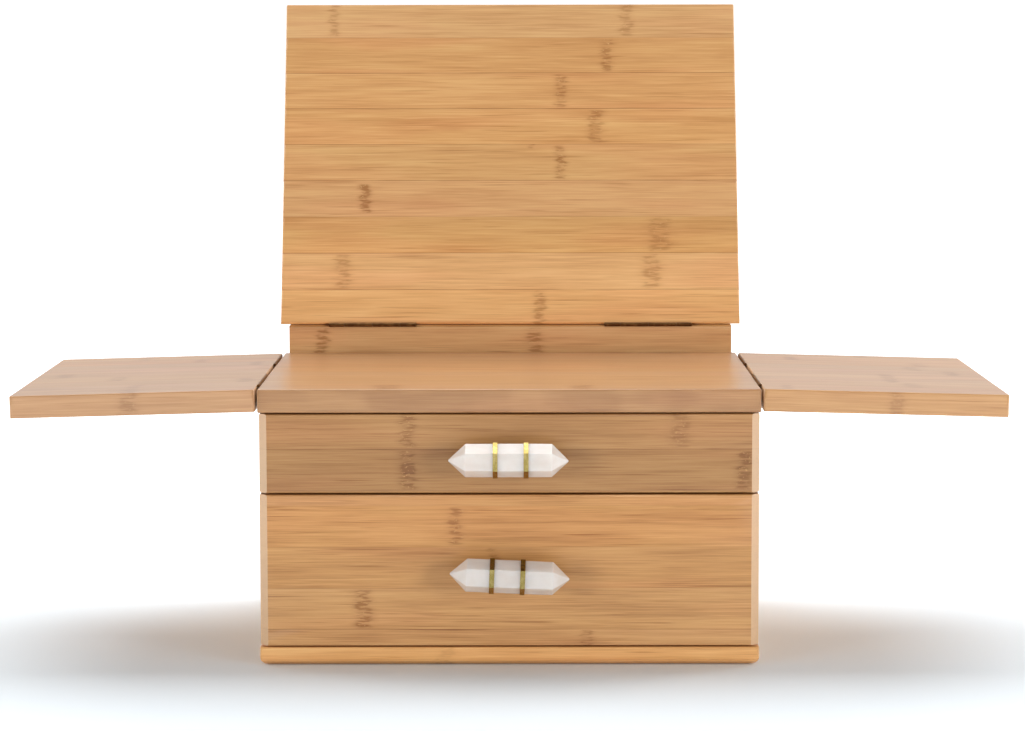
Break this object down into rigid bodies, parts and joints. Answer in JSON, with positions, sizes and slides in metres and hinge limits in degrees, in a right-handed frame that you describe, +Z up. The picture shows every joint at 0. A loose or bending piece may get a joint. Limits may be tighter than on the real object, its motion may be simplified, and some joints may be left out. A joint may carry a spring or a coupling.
{
  "type": "jewelry box",
  "caption": "Bamboo jewelry box with two drawers on crystal pulls, fold-out side wings and a hinged lid that leans back when open.",
  "frame": {"origin": "middle of the base's underside", "axes": "+Z up, the drawers open towards -Y, +X to the right seen from the front"},
  "size_m": [0.536, 0.3039, 0.3582],
  "materials": {
    "bamboo": "satin lacquered laminated bamboo",
    "bamboo_dark": "satin lacquered laminated bamboo, a darker batch",
    "bamboo_pale": "satin lacquered laminated bamboo, a paler batch",
    "hinge_bronze": "dark antique bronze plating",
    "brass_fittings": "polished",
    "quartz": "milky white cut crystal",
    "steel_screws": "zinc plated",
    "felt_lining": "wool felt",
    "rubber_bumpers": "matte"
  },
  "bodies": {
    "case": {"base_board": "bamboo_dark", "left_side_panel": "bamboo", "right_side_panel": "bamboo", "back_panel": "bamboo", "divider_shelf": "bamboo", "top_board": "bamboo_pale", "case_dowels": "bamboo_pale", "left_lid_hinge_rail_plate": "hinge_bronze", "right_lid_hinge_rail_plate": "hinge_bronze", "left_lid_hinge_pin": "hinge_bronze", "right_lid_hinge_pin": "hinge_bronze", "rail_screws": "hinge_bronze", "left_front_hinge_board_plate": "hinge_bronze", "left_rear_hinge_board_plate": "hinge_bronze", "right_front_hinge_board_plate": "hinge_bronze", "right_rear_hinge_board_plate": "hinge_bronze", "left_front_hinge_pin": "hinge_bronze", "left_rear_hinge_pin": "hinge_bronze", "right_front_hinge_pin": "hinge_bronze", "right_rear_hinge_pin": "hinge_bronze", "board_edge_screws": "hinge_bronze"},
    "lid": {"lid_panel": "bamboo", "left_lid_hinge_lid_plate": "hinge_bronze", "right_lid_hinge_lid_plate": "hinge_bronze", "lid_screws": "hinge_bronze"},
    "left_wing": {"left_wing_panel": "bamboo_pale", "left_front_hinge_wing_plate": "hinge_bronze", "left_rear_hinge_wing_plate": "hinge_bronze", "left_wing_screws": "hinge_bronze", "left_wing_bumpers": "rubber_bumpers"},
    "right_wing": {"right_wing_panel": "bamboo_pale", "right_front_hinge_wing_plate": "hinge_bronze", "right_rear_hinge_wing_plate": "hinge_bronze", "right_wing_screws": "hinge_bronze", "right_wing_bumpers": "rubber_bumpers"},
    "upper_drawer": {"upper_drawer_front": "bamboo_dark", "upper_drawer_left_side": "bamboo", "upper_drawer_right_side": "bamboo", "upper_drawer_back": "bamboo", "upper_drawer_bottom": "bamboo", "upper_drawer_felt": "felt_lining", "upper_drawer_long_divider": "bamboo_pale", "upper_drawer_cross_dividers": "bamboo_pale", "upper_crystal": "quartz", "upper_pull_bands": "brass_fittings", "upper_pull_posts": "brass_fittings", "upper_pull_screws": "steel_screws"},
    "lower_drawer": {"lower_drawer_front": "bamboo_dark", "lower_drawer_left_side": "bamboo", "lower_drawer_right_side": "bamboo", "lower_drawer_back": "bamboo", "lower_drawer_bottom": "bamboo", "lower_drawer_felt": "felt_lining", "lower_crystal": "quartz", "lower_pull_bands": "brass_fittings", "lower_pull_posts": "brass_fittings", "lower_pull_screws": "steel_screws"}
  },
  "joints": [
    {"name": "lid_swing", "type": "hinge", "parent": "case", "child": "lid", "pos_m": [0, 0.0934, 0.167], "axis": [1, 0, 0], "range_deg": [0, 110]},
    {"name": "left_wing_fold", "type": "hinge", "parent": "case", "child": "left_wing", "pos_m": [-0.13565, 0, 0.1502], "axis": [0, 1, 0], "range_deg": [0, 181.5]},
    {"name": "right_wing_fold", "type": "hinge", "parent": "case", "child": "right_wing", "pos_m": [0.13565, 0, 0.1502], "axis": [0, -1, 0], "range_deg": [0, 181.5]},
    {"name": "upper_drawer_slide", "type": "slide", "parent": "case", "child": "upper_drawer", "axis": [0, -1, 0], "range_m": [0, 0.14]},
    {"name": "lower_drawer_slide", "type": "slide", "parent": "case", "child": "lower_drawer", "axis": [0, -1, 0], "range_m": [0, 0.14]}
  ]
}
